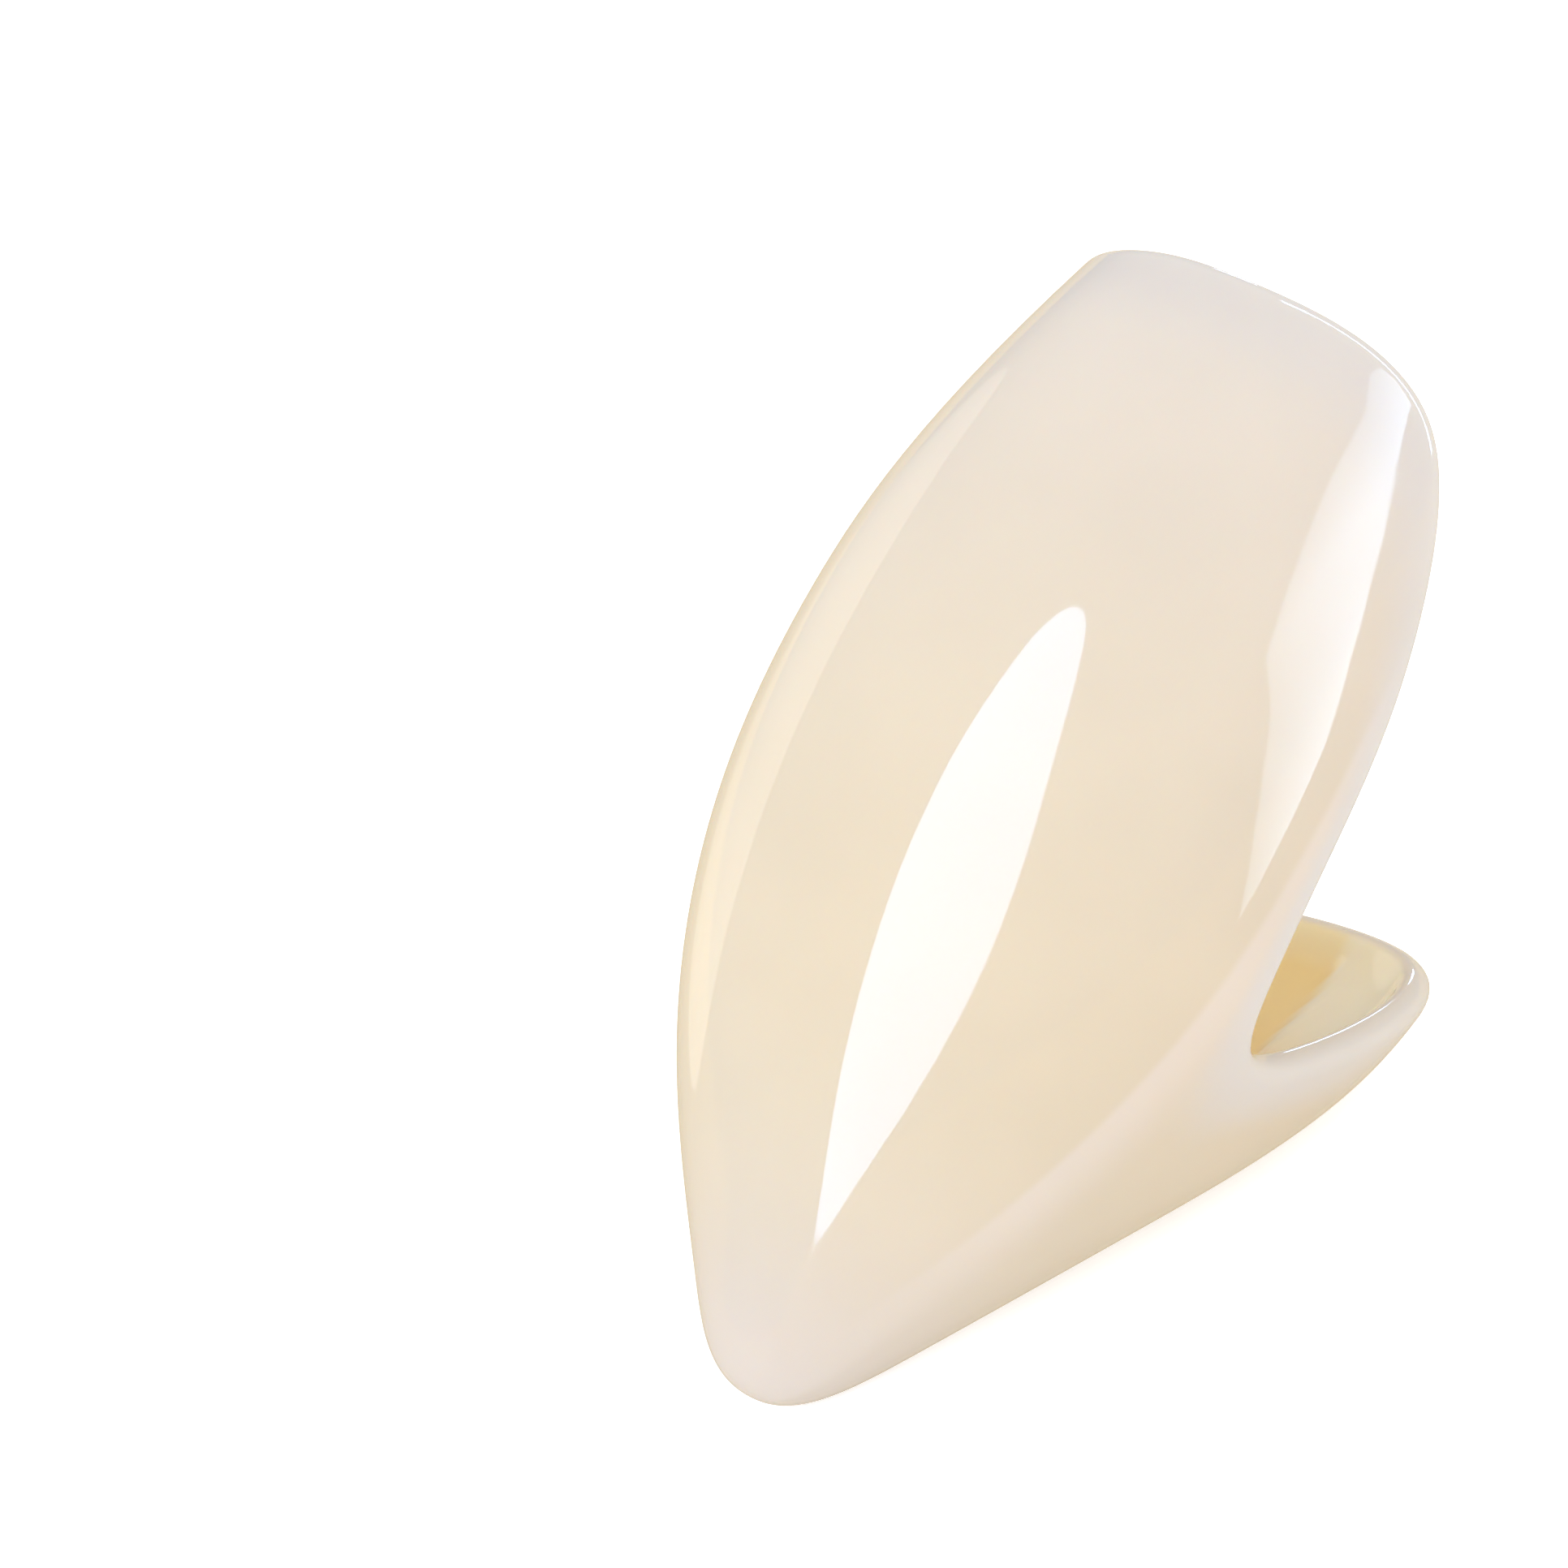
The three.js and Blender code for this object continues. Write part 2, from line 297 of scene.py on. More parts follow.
def outer_skin(reading):
    """A place on the outer skin, from degrees around and the share along from tip to top."""
    group, given = start_group("Outer skin", {"Around": "Float", "Along": "Float"}, {"Place": "Vector"})
    turns = add(group, "ShaderNodeMath", {0: given["Around"], 1: TURN}, operation="DIVIDE")
    share = add(group, "ShaderNodeMath", {0: turns}, operation="FRACT")
    corners = {}
    lines = (("front left line", "front", FRONT_REACH), ("back right line", "back", BACK_REACH))
    for name, side, reach in lines:
        feeds = {"Curve": draw_profile(name, side, reach), "Share": given["Along"]}
        corners[side] = add(group, "GeometryNodeGroup", feeds, node_tree=reading)
    feeds = {"Curve": draw_section(), "Share": share}
    flat = add(group, "GeometryNodeGroup", feeds, node_tree=reading)
    feeds = {"Factor": flat, "A": corners["front"], "B": corners["back"]}
    place = add(group, "ShaderNodeMix", feeds, data_type="VECTOR", factor_mode="NON_UNIFORM")
    add(group, "NodeGroupOutput", {"Place": place})
    return group


def skin_slopes(skin):
    """How the skin runs at a place: across for one degree around, upward for a whole length."""
    gives = {"Place": "Vector", "Across": "Vector", "Upward": "Vector", "Normal": "Vector"}
    group, given = start_group("Skin slopes", {"Around": "Float", "Along": "Float"}, gives)
    slopes = {}
    for label, (around_step, along_step) in SLOPE_STEPS.items():
        ends = []
        for direction in (1, -1):
            around = add(group, "ShaderNodeMath", {0: given["Around"], 1: direction * around_step})
            along = add(group, "ShaderNodeMath", {0: given["Along"], 1: direction * along_step})
            ends.append(add(group, "GeometryNodeGroup", {"Around": around, "Along": along}, node_tree=skin))
        apart = add(group, "ShaderNodeVectorMath", {0: ends[0], 1: ends[1]}, operation="SUBTRACT")
        feeds = {"Vector": apart, "Scale": 1 / (2 * (around_step + along_step))}
        slopes[label] = add(group, "ShaderNodeVectorMath", feeds, operation="SCALE")
    feeds = {0: slopes["Across"], 1: slopes["Upward"]}
    crossed = add(group, "ShaderNodeVectorMath", feeds, operation="CROSS_PRODUCT")
    normal = add(group, "ShaderNodeVectorMath", {0: crossed}, operation="NORMALIZE")
    feeds = {"Around": given["Around"], "Along": given["Along"]}
    place = add(group, "GeometryNodeGroup", feeds, node_tree=skin)
    add(group, "NodeGroupOutput", {"Place": place, "Normal": normal, **slopes})
    return group


def along_at_height(reading):
    """The share along the profile at which the skin reaches a height, by halving."""
    group, given = start_group("Along at a height", {"Height": "Float"}, {"Along": "Float"})
    entry = add(group, "GeometryNodeRepeatInput")
    leave = add(group, "GeometryNodeRepeatOutput")
    entry.pair_with_output(leave)
    leave.repeat_items.clear()
    for label, value in (("Low", 0), ("High", 1)):
        leave.repeat_items.new("FLOAT", label)
        entry.inputs[label].default_value = value
    entry.inputs["Iterations"].default_value = HALVINGS
    low = entry.outputs["Low"]
    high = entry.outputs["High"]
    middle = add(group, "ShaderNodeMix", {"Factor": 0.5, "A": low, "B": high})
    feeds = {"Curve": bpy.data.objects["front left line"], "Share": middle}
    place = add(group, "GeometryNodeGroup", feeds, node_tree=reading)
    reached = add(group, "ShaderNodeSeparateXYZ", {0: place}).outputs["Z"]
    below = add(group, "ShaderNodeMath", {0: reached, 1: given["Height"]}, operation="LESS_THAN")
    new_low = add(group, "ShaderNodeMix", {"Factor": below, "A": low, "B": middle})
    new_high = add(group, "ShaderNodeMix", {"Factor": below, "A": middle, "B": high})
    for label, mixed in (("Low", new_low), ("High", new_high)):
        group.links.new(mixed.outputs["Result"], leave.inputs[label])
    ends = {"Factor": 0.5, "A": leave.outputs["Low"], "B": leave.outputs["High"]}
    add(group, "NodeGroupOutput", {"Along": add(group, "ShaderNodeMix", ends)})
    return group


def edge_reading(reading, skin, along_at):
    """Where the drawn edge of the opening runs on the skin."""
    gives = {"Around": "Float", "Along": "Float", "Start": "Float", "Place": "Vector"}
    group, given = start_group("Read the edge", {"Share": "Float"}, gives)
    share = add(group, "ShaderNodeMath", {0: given["Share"]}, operation="FRACT")
    drawn = add(group, "GeometryNodeGroup", {"Curve": draw_edge(), "Share": share}, node_tree=reading)
    numbers = add(group, "ShaderNodeSeparateXYZ", {0: drawn}).outputs
    along = add(group, "GeometryNodeGroup", {"Height": numbers["Y"]}, node_tree=along_at)
    place = add(group, "GeometryNodeGroup", {"Around": numbers["X"], "Along": along}, node_tree=skin)
    found = {"Around": numbers["X"], "Along": along, "Start": numbers["Z"], "Place": place}
    add(group, "NodeGroupOutput", found)
    return group


def edge_line(read_edge, slopes):
    """A line of points along the edge, half the edge's thickness short of the drawn one."""
    group, given = start_group("Edge line", {"Columns": "Int", "Rim wall": "Float"}, {"Edge": "Geometry"})
    count = add(group, "ShaderNodeMath", {0: given["Columns"], 1: 1})
    line = add(group, "GeometryNodeMeshLine", {"Count": count})
    index = add(group, "GeometryNodeInputIndex")
    share = add(group, "ShaderNodeMath", {0: index, 1: given["Columns"]}, operation="DIVIDE")
    spots = []
    for nudge in (0, EDGE_STEP, -EDGE_STEP):
        moved = add(group, "ShaderNodeMath", {0: share, 1: nudge})
        spots.append(add(group, "GeometryNodeGroup", {"Share": moved}, node_tree=read_edge).outputs)
    drawn, ahead, behind = spots
    feeds = {"Around": drawn["Around"], "Along": drawn["Along"]}
    slope = add(group, "GeometryNodeGroup", feeds, node_tree=slopes).outputs
    feeds = {0: ahead["Place"], 1: behind["Place"]}
    tangent = add(group, "ShaderNodeVectorMath", feeds, operation="SUBTRACT")
    aside = add(group, "ShaderNodeVectorMath", {0: slope["Normal"], 1: tangent}, operation="CROSS_PRODUCT")
    outward = add(group, "ShaderNodeVectorMath", {0: aside}, operation="NORMALIZE")
    pull = add(group, "ShaderNodeMath", {0: given["Rim wall"], 1: -0.5}, operation="MULTIPLY")
    back = add(group, "ShaderNodeVectorMath", {"Vector": outward, "Scale": pull}, operation="SCALE")

    # The pull back, told as degrees around and as a share along the skin
    ends = {}
    for label, own, other in (("Around", "Across", "Upward"), ("Along", "Upward", "Across")):
        square = {0: slope[other], 1: slope["Normal"]}
        beside = add(group, "ShaderNodeVectorMath", square, operation="CROSS_PRODUCT")
        wanted = add(group, "ShaderNodeVectorMath", {0: back, 1: beside}, operation="DOT_PRODUCT")
        whole = add(group, "ShaderNodeVectorMath", {0: slope[own], 1: beside}, operation="DOT_PRODUCT")
        moved = add(group, "ShaderNodeMath", {0: wanted, 1: whole}, operation="DIVIDE")
        ends[label] = add(group, "ShaderNodeMath", {0: drawn[label], 1: moved})
    slope = add(group, "GeometryNodeGroup", ends, node_tree=slopes).outputs

    geometry = add(group, "GeometryNodeSetPosition", {"Geometry": line, "Position": slope["Place"]})
    kept = {
        "start": ("FLOAT", drawn["Start"]),
        "end_around": ("FLOAT", ends["Around"]),
        "end_along": ("FLOAT", ends["Along"]),
        "outward": ("FLOAT_VECTOR", outward),
        "end_normal": ("FLOAT_VECTOR", slope["Normal"]),
    }
    for name, (kind, value) in kept.items():
        feeds = {"Geometry": geometry, "Name": name, "Value": value}
        geometry = add(group, "GeometryNodeStoreNamedAttribute", feeds, data_type=kind)
    add(group, "NodeGroupOutput", {"Edge": geometry})
    return group


def kept_at(tree, edge, column, name, kind):
    """A value kept on the edge line, read for a column."""
    value = add(tree, "GeometryNodeInputNamedAttribute", {"Name": name}, data_type=kind)
    feeds = {"Geometry": edge, "Value": value.outputs["Attribute"], "Index": column}
    return add(tree, "GeometryNodeSampleIndex", feeds, data_type=kind, clamp=True)


def grid_line():
    """The grid line of a column, which climbs first and turns towards the edge late."""
    takes = {"Edge": "Geometry", "Column": "Int", "Share": "Float"}
    group, given = start_group("Grid line", takes, {"Around": "Float", "Along": "Float"})
    read = {}
    for name in ("start", "end_around", "end_along"):
        read[name] = kept_at(group, given["Edge"], given["Column"], name, "FLOAT")
    turned = add(group, "ShaderNodeMath", {0: given["Share"], 1: LATE_TURN}, operation="POWER")
    feeds = {"Factor": turned, "A": read["start"], "B": read["end_around"]}
    around = add(group, "ShaderNodeMix", feeds, clamp_factor=False)
    along = add(group, "ShaderNodeMath", {0: given["Share"], 1: read["end_along"]}, operation="MULTIPLY")
    add(group, "NodeGroupOutput", {"Around": around, "Along": along})
    return group


def strip():
    """A sheet of the cap's columns, with the column and the share up it of each point."""
    takes = {"Columns": "Int", "Rows": "Int"}
    gives = {"Sheet": "Geometry", "Column": "Int", "Share": "Float"}
    group, given = start_group("Strip", takes, gives)
    across = add(group, "FunctionNodeIntegerMath", {0: given["Columns"], 1: 1}, operation="ADD")
    up = add(group, "FunctionNodeIntegerMath", {0: given["Rows"], 1: 1}, operation="ADD")
    sheet = add(group, "GeometryNodeMeshGrid", {"Vertices X": across, "Vertices Y": up}).outputs["Mesh"]
    index = add(group, "GeometryNodeInputIndex")
    column = add(group, "FunctionNodeIntegerMath", {0: index, 1: up}, operation="DIVIDE_FLOOR")
    row = add(group, "FunctionNodeIntegerMath", {0: index, 1: up}, operation="MODULO")
    share = add(group, "ShaderNodeMath", {0: row, 1: given["Rows"]}, operation="DIVIDE")
    add(group, "NodeGroupOutput", {"Sheet": sheet, "Column": column, "Share": share})
    return group


def channel():
    """How much a place is in the channel inside the lip, from 0 to 1."""
    group, given = start_group("Channel", {"Place": "Vector"}, {"Amount": "Float"})
    parts = add(group, "ShaderNodeSeparateXYZ", {0: given["Place"]}).outputs
    across = add(group, "ShaderNodeMath", {0: parts["X"]}, operation="ABSOLUTE")
    below_lip = add(group, "ShaderNodeMath", {0: LIP_HEIGHT * MM, 1: parts["Z"]}, operation="SUBTRACT")
    feeds = {0: below_lip, 1: CHANNEL_SPREAD, 2: CHANNEL_HALF_WIDTH * MM}
    half_width = add(group, "ShaderNodeMath", feeds, operation="MULTIPLY_ADD")
    short = add(group, "ShaderNodeMath", {0: half_width, 1: across}, operation="SUBTRACT")
    feeds = {"Value": short, "From Min": -CHANNEL_SIDE * MM, "From Max": CHANNEL_SIDE * MM}
    within = add(group, "ShaderNodeMapRange", feeds, interpolation_type="SMOOTHSTEP")
    near, far = CHANNEL_BEHIND
    feeds = {"Value": parts["Y"], "From Min": near * MM, "From Max": far * MM}
    behind = add(group, "ShaderNodeMapRange", feeds, interpolation_type="SMOOTHSTEP")
    amount = add(group, "ShaderNodeMath", {0: within, 1: behind}, operation="MULTIPLY")
    add(group, "NodeGroupOutput", {"Amount": amount})
    return group


def inner_wall(line, slopes, in_channel):
    """A place on the inside of the wall, which thins from its full thickness to its edge."""
    takes = {"Edge": "Geometry", "Column": "Int", "Share": "Float", "Channel depth": "Float"}
    takes |= {"Wall": "Float", "Rim wall": "Float", "Rim taper": "Float"}
    group, given = start_group("Inner wall", takes, {"Place": "Vector"})
    feeds = {label: given[label] for label in ("Edge", "Column", "Share")}
    spot = add(group, "GeometryNodeGroup", feeds, node_tree=line).outputs
    feeds = {"Around": spot["Around"], "Along": spot["Along"]}
    outer = add(group, "GeometryNodeGroup", feeds, node_tree=slopes).outputs
    here = add(group, "GeometryNodeInputPosition")
    feeds = {"Geometry": given["Edge"], "Index": given["Column"], "Value": here}
    edge = add(group, "GeometryNodeSampleIndex", feeds, data_type="FLOAT_VECTOR", clamp=True)
    far = add(group, "ShaderNodeVectorMath", {0: outer["Place"], 1: edge}, operation="DISTANCE")
    feeds = {
        "Value": far.outputs["Value"],
        "From Max": given["Rim taper"],
        "To Min": given["Rim wall"],
        "To Max": given["Wall"],
    }
    whole = add(group, "ShaderNodeMapRange", feeds, interpolation_type="SMOOTHSTEP")
    feeds = {
        "Value": far.outputs["Value"],
        "From Max": CHANNEL_RUN_IN * MM,
        "To Max": given["Channel depth"],
    }
    depth = add(group, "ShaderNodeMapRange", feeds, interpolation_type="SMOOTHSTEP")
    amount = add(group, "GeometryNodeGroup", {"Place": outer["Place"]}, node_tree=in_channel)
    cut = add(group, "ShaderNodeMath", {0: depth, 1: amount}, operation="MULTIPLY")
    thickness = add(group, "ShaderNodeMath", {0: whole, 1: cut}, operation="SUBTRACT")
    inward = add(group, "ShaderNodeVectorMath", {0: outer["Normal"], "Scale": thickness}, operation="SCALE")
    place = add(group, "ShaderNodeVectorMath", {0: outer["Place"], 1: inward}, operation="SUBTRACT")
    add(group, "NodeGroupOutput", {"Place": place})
    return group


def up_skin(tree, given, edge, part, line, skin):
    """Places up the outer skin, with the rows drawn together at the tip."""
    feeds = {0: part["Share"], 1: given["Tip crowding"]}
    crowded = add(tree, "ShaderNodeMath", feeds, operation="POWER")
    feeds = {"Edge": edge, "Column": part["Column"], "Share": crowded}
    spot = add(tree, "GeometryNodeGroup", feeds, node_tree=line).outputs
    feeds = {"Around": spot["Around"], "Along": spot["Along"]}
    return add(tree, "GeometryNodeGroup", feeds, node_tree=skin)


def over_edge(tree, given, edge, part):
    """Places over the rounded edge, by half a turn from the outer skin to the inner wall."""
    column = part["Column"]
    feeds = {"Geometry": edge, "Index": column, "Value": add(tree, "GeometryNodeInputPosition")}
    place = add(tree, "GeometryNodeSampleIndex", feeds, data_type="FLOAT_VECTOR", clamp=True)
    radius = add(tree, "ShaderNodeMath", {0: given["Rim wall"], 1: 0.5}, operation="MULTIPLY")
    swing = add(tree, "ShaderNodeMath", {0: part["Share"], 1: pi}, operation="MULTIPLY")
    squared = []
    for wave in ("COSINE", "SINE"):
        round_part = add(tree, "ShaderNodeMath", {0: swing}, operation=wave)
        size = add(tree, "ShaderNodeMath", {0: round_part}, operation="ABSOLUTE")
        feeds = {0: size, 1: given["Rim squareness"]}
        fuller = add(tree, "ShaderNodeMath", feeds, operation="POWER")
        sign = add(tree, "ShaderNodeMath", {0: round_part}, operation="SIGN")
        squared.append(add(tree, "ShaderNodeMath", {0: fuller, 1: sign}, operation="MULTIPLY"))
    inward = add(tree, "ShaderNodeMath", {0: squared[0], 1: 1}, operation="SUBTRACT")
    beyond = squared[1]
    for name, amount in (("end_normal", inward), ("outward", beyond)):
        direction = kept_at(tree, edge, column, name, "FLOAT_VECTOR")
        length = add(tree, "ShaderNodeMath", {0: amount, 1: radius}, operation="MULTIPLY")
        feeds = {0: direction, 1: length, 2: place}
        place = add(tree, "ShaderNodeVectorMath", feeds, operation="MULTIPLY_ADD")
    return place


def wall_place(tree, given, edge, column, share, wall):
    """A place on the inner wall, by the column and the share up it."""
    feeds = {"Edge": edge, "Column": column, "Share": share}
    feeds |= {label: given[label] for label in ("Wall", "Rim wall", "Rim taper", "Channel depth")}
    return add(tree, "GeometryNodeGroup", feeds, node_tree=wall)


def ring_share(tree, given, edge, part, along_at):
    """The share up a column at which the wall ends and the bowl begins."""
    feeds = {"Height": given["Bowl height"]}
    bowl_along = add(tree, "GeometryNodeGroup", feeds, node_tree=along_at)
    end_along = kept_at(tree, edge, part["Column"], "end_along", "FLOAT")
    return add(tree, "ShaderNodeMath", {0: bowl_along, 1: end_along}, operation="DIVIDE")


def down_wall(tree, given, edge, part, wall, along_at):
    """Places down the inner wall, to the ring where the bowl begins."""
    ring = ring_share(tree, given, edge, part, along_at)
    share = add(tree, "ShaderNodeMix", {"Factor": part["Share"], "A": 1.0, "B": ring})
    return wall_place(tree, given, edge, part["Column"], share, wall)


def round_bowl(tree, given, edge, part, wall, along_at, skin):
    """Places round the bowl of the socket, by a curve with four corners."""
    share = ring_share(tree, given, edge, part, along_at)
    ring = wall_place(tree, given, edge, part["Column"], share, wall)
    share_above = add(tree, "ShaderNodeMath", {0: share, 1: RING_STEP})
    above = wall_place(tree, given, edge, part["Column"], share_above, wall)
    down = add(tree, "ShaderNodeVectorMath", {0: ring, 1: above}, operation="SUBTRACT")
    slope = add(tree, "ShaderNodeVectorMath", {0: down}, operation="NORMALIZE")
    feeds = {0: given["Bowl height"], 1: given["Solid tip"]}
    depth = add(tree, "ShaderNodeMath", feeds, operation="SUBTRACT")
    half_depth = add(tree, "ShaderNodeMath", {0: depth, 1: 0.5}, operation="MULTIPLY")
    feeds = {0: slope, 1: half_depth, 2: ring}
    handle = add(tree, "ShaderNodeVectorMath", feeds, operation="MULTIPLY_ADD")

    # The bowl's lowest place, midway between the front and the back of the skin
    floor_along = add(tree, "GeometryNodeGroup", {"Height": given["Solid tip"]}, node_tree=along_at)
    sides = []
    for around in (0, TURN / 2):
        feeds = {"Around": around, "Along": floor_along}
        sides.append(add(tree, "GeometryNodeGroup", feeds, node_tree=skin))
    feeds = {"Factor": 0.5, "A": sides[0], "B": sides[1]}
    floor = add(tree, "ShaderNodeMix", feeds, data_type="VECTOR")

    ring_parts = add(tree, "ShaderNodeSeparateXYZ", {0: ring}).outputs
    feeds = {"X": ring_parts["X"], "Y": ring_parts["Y"], "Z": given["Solid tip"]}
    level = add(tree, "ShaderNodeCombineXYZ", feeds)
    feeds = {"Factor": given["Bowl spread"], "A": floor, "B": level}
    corners = [ring, handle, add(tree, "ShaderNodeMix", feeds, data_type="VECTOR"), floor]
    while len(corners) > 1:
        nearer = []
        for corner, following in zip(corners, corners[1:]):
            feeds = {"Factor": part["Share"], "A": corner, "B": following}
            nearer.append(add(tree, "ShaderNodeMix", feeds, data_type="VECTOR"))
        corners = nearer
    return corners[0]


def settle_sheet(tree, label, part, place, edge, in_channel):
    """Moves a sheet to its places, and keeps on it what the finish needs to know."""
    placed = add(tree, "GeometryNodeSetPosition", {"Geometry": part["Sheet"], "Position": place})
    spot = add(tree, "GeometryNodeInputPosition")
    feeds = {"Geometry": edge, "Index": part["Column"], "Value": spot}
    nearest = add(tree, "GeometryNodeSampleIndex", feeds, data_type="FLOAT_VECTOR", clamp=True)
    far = add(tree, "ShaderNodeVectorMath", {0: spot, 1: nearest}, operation="DISTANCE")
    kept = {
        "from_edge": far.outputs["Value"],
        "inside": {"Skin rows": 0.0, "Rim rows": part["Share"]}.get(label, 1.0),
        "channel": add(tree, "GeometryNodeGroup", {"Place": spot}, node_tree=in_channel),
    }
    for name, value in kept.items():
        feeds = {"Geometry": placed, "Name": name, "Value": value}
        placed = add(tree, "GeometryNodeStoreNamedAttribute", feeds, data_type="FLOAT")
    return placed


def cap_tree():
    """The whole cap: outer skin, rounded edge, inner wall and bowl, closed into one shell."""
    takes = {"Columns": "Int", **{label: "Int" for label in ROWS}}
    takes |= {"Wall": "Float", "Rim wall": "Float", "Rim taper": "Float", "Solid tip": "Float"}
    takes |= {"Bowl height": "Float", "Bowl spread": "Float", "Tip crowding": "Float"}
    takes |= {"Rim squareness": "Float", "Channel depth": "Float", "Material": "Material"}
    tree, given = start_group("Fang cap", takes, {"Cap": "Geometry"})
    reading = curve_reading()
    skin = outer_skin(reading)
    slopes = skin_slopes(skin)
    along_at = along_at_height(reading)
    read_edge = edge_reading(reading, skin, along_at)
    line = grid_line()
    sheet = strip()
    in_channel = channel()
    wall = inner_wall(line, slopes, in_channel)

    feeds = {"Columns": given["Columns"], "Rim wall": given["Rim wall"]}
    edge = add(tree, "GeometryNodeGroup", feeds, node_tree=edge_line(read_edge, slopes))
    parts = {}
    for label in ROWS:
        feeds = {"Columns": given["Columns"], "Rows": given[label]}
        parts[label] = add(tree, "GeometryNodeGroup", feeds, node_tree=sheet).outputs
    places = {
        "Skin rows": up_skin(tree, given, edge, parts["Skin rows"], line, skin),
        "Rim rows": over_edge(tree, given, edge, parts["Rim rows"]),
        "Wall rows": down_wall(tree, given, edge, parts["Wall rows"], wall, along_at),
        "Bowl rows": round_bowl(tree, given, edge, parts["Bowl rows"], wall, along_at, skin),
    }
    joined = add(tree, "GeometryNodeJoinGeometry")
    for label, part in reversed(parts.items()):
        placed = settle_sheet(tree, label, part, places[label], edge, in_channel)
        tree.links.new(placed.outputs["Geometry"], joined.inputs["Geometry"])
    feeds = {"Geometry": joined, "Distance": WELD_DISTANCE * MM}
    closed = add(tree, "GeometryNodeMergeByDistance", feeds)
    smooth = add(tree, "GeometryNodeSetShadeSmooth", {"Geometry": closed})
    real = add(tree, "GeometryNodeRealizeInstances", {"Geometry": smooth})
    feeds = {"Geometry": real, "Material": given["Material"]}
    add(tree, "NodeGroupOutput", {"Cap": add(tree, "GeometryNodeSetMaterial", feeds)})
    return tree


def make_cap(material):
    """Moulds the cap and lays it on its back, where its CAD node lies."""
    sizes = {
        "Columns": COLUMNS,
        **ROWS,
        "Wall": WALL * MM,
        "Rim wall": RIM_WALL * MM,
        "Rim taper": RIM_TAPER * MM,
        "Solid tip": SOLID_TIP * MM,
        "Bowl height": BOWL_HEIGHT * MM,
        "Bowl spread": BOWL_SPREAD,
        "Tip crowding": TIP_CROWDING,
        "Rim squareness": RIM_SQUARENESS,
        "Channel depth": CHANNEL_DEPTH * MM,
        "Material": material,
    }
    tree = cap_tree()
    mould = bpy.data.objects.new("mould", bpy.data.meshes.new("mould"))
    bpy.context.scene.collection.objects.link(mould)
    modifier = mould.modifiers.new("Fang cap", "NODES")
    modifier.node_group = tree
    for socket in tree.interface.items_tree:
        if socket.in_out == "INPUT":
            modifier[socket.identifier] = sizes[socket.name]
    bpy.context.view_layer.update()
    moulded = mould.evaluated_get(bpy.context.evaluated_depsgraph_get())
    mesh = bpy.data.meshes.new_from_object(moulded)
    mould.modifiers.remove(modifier)
    for drawn in [piece for piece in bpy.data.objects if piece.type == "CURVE"]:
        bpy.data.objects.remove(drawn)
    bpy.data.objects.remove(mould)

    mesh.transform(Matrix.Translation(TIP) @ Matrix.Rotation(radians(RESTING_ANGLE), 4, "X"))
    cap = bpy.data.objects.new("vampire_fang", mesh)
    bpy.context.scene.collection.objects.link(cap)
    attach(cap, "root")
    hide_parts("fang_cap")


def tones_up_tooth(tree, parts):
    """Tones up the tooth: a pinkish tip, a warm body and a greyer gum end."""
    height = add(tree, "ShaderNodeMapRange", {"Value": parts["Z"], "From Max": GUM_HEIGHT * MM})
    tones = add(tree, "ShaderNodeValToRGB", {"Fac": height})
    ramp = tones.color_ramp
    ramp.interpolation = "B_SPLINE"
    while len(ramp.elements) < len(BODY_TONES):
        ramp.elements.new(0.5)
    for stop, (share, code) in zip(ramp.elements, BODY_TONES):
        stop.position = share
        stop.color = colour(code)
    return tones.outputs["Color"]


def shade_behind(tree, parts, tones):
    """Painted shade on the body behind its widest line, and a painted reflection: the paler streak along
    that line.
    """
    feeds = {0: parts["Z"], 1: WIDEST_LINE_LEAN, 2: WIDEST_LINE_FOOT * MM}
    line = add(tree, "ShaderNodeMath", feeds, operation="MULTIPLY_ADD")
    past = add(tree, "ShaderNodeMath", {0: parts["Y"], 1: line}, operation="SUBTRACT")
    near, far = BEHIND_RANGE
    feeds = {"Value": past, "From Min": near * MM, "From Max": far * MM}
    behind = add(tree, "ShaderNodeMapRange", feeds, interpolation_type="SMOOTHSTEP")
    # painted shade: the body's tones are darkened behind the widest line
    feeds = {"Factor": behind, "A": tones, "B": colour(BEHIND_PAINTED_SHADE_TONE)}
    shaded = add(tree, "ShaderNodeMix", feeds, data_type="RGBA", blend_type="MULTIPLY")
    # painted reflection: the paler streak just past the widest line, fading away from it and from the tip
    streak = REFLECTED_STREAK_SHARE
    for measure, (near, far), ends in (
        (past, REFLECTED_STREAK_BEGINS, (0, 1)),
        (past, REFLECTED_STREAK_FADES, (1, 0)),
        (parts["Z"], REFLECTED_STREAK_OFF_TIP, (0, 1)),
    ):
        feeds = {"Value": measure, "From Min": near * MM, "From Max": far * MM}
        feeds |= {"To Min": ends[0], "To Max": ends[1]}
        share = add(tree, "ShaderNodeMapRange", feeds, interpolation_type="SMOOTHSTEP")
        streak = add(tree, "ShaderNodeMath", {0: streak, 1: share}, operation="MULTIPLY")
    feeds = {"Factor": streak, "A": shaded, "B": colour(REFLECTED_STREAK_TONE)}
    return add(tree, "ShaderNodeMix", feeds, data_type="RGBA")


def thin_edge(tree, from_edge, body):
    """Painted shade at the opening's edge, where the wall is so thin that the grey of the room comes
    through.
    """
    feeds = {"Value": from_edge, "From Max": THIN_REACH * MM, "To Min": THIN_EDGE_PAINTED_SHARE, "To Max": 0.0}
    thin = add(tree, "ShaderNodeMapRange", feeds, interpolation_type="SMOOTHSTEP")
    feeds = {"Factor": thin, "A": body, "B": colour(THIN_EDGE_PAINTED_GREY)}
    return add(tree, "ShaderNodeMix", feeds, data_type="RGBA")


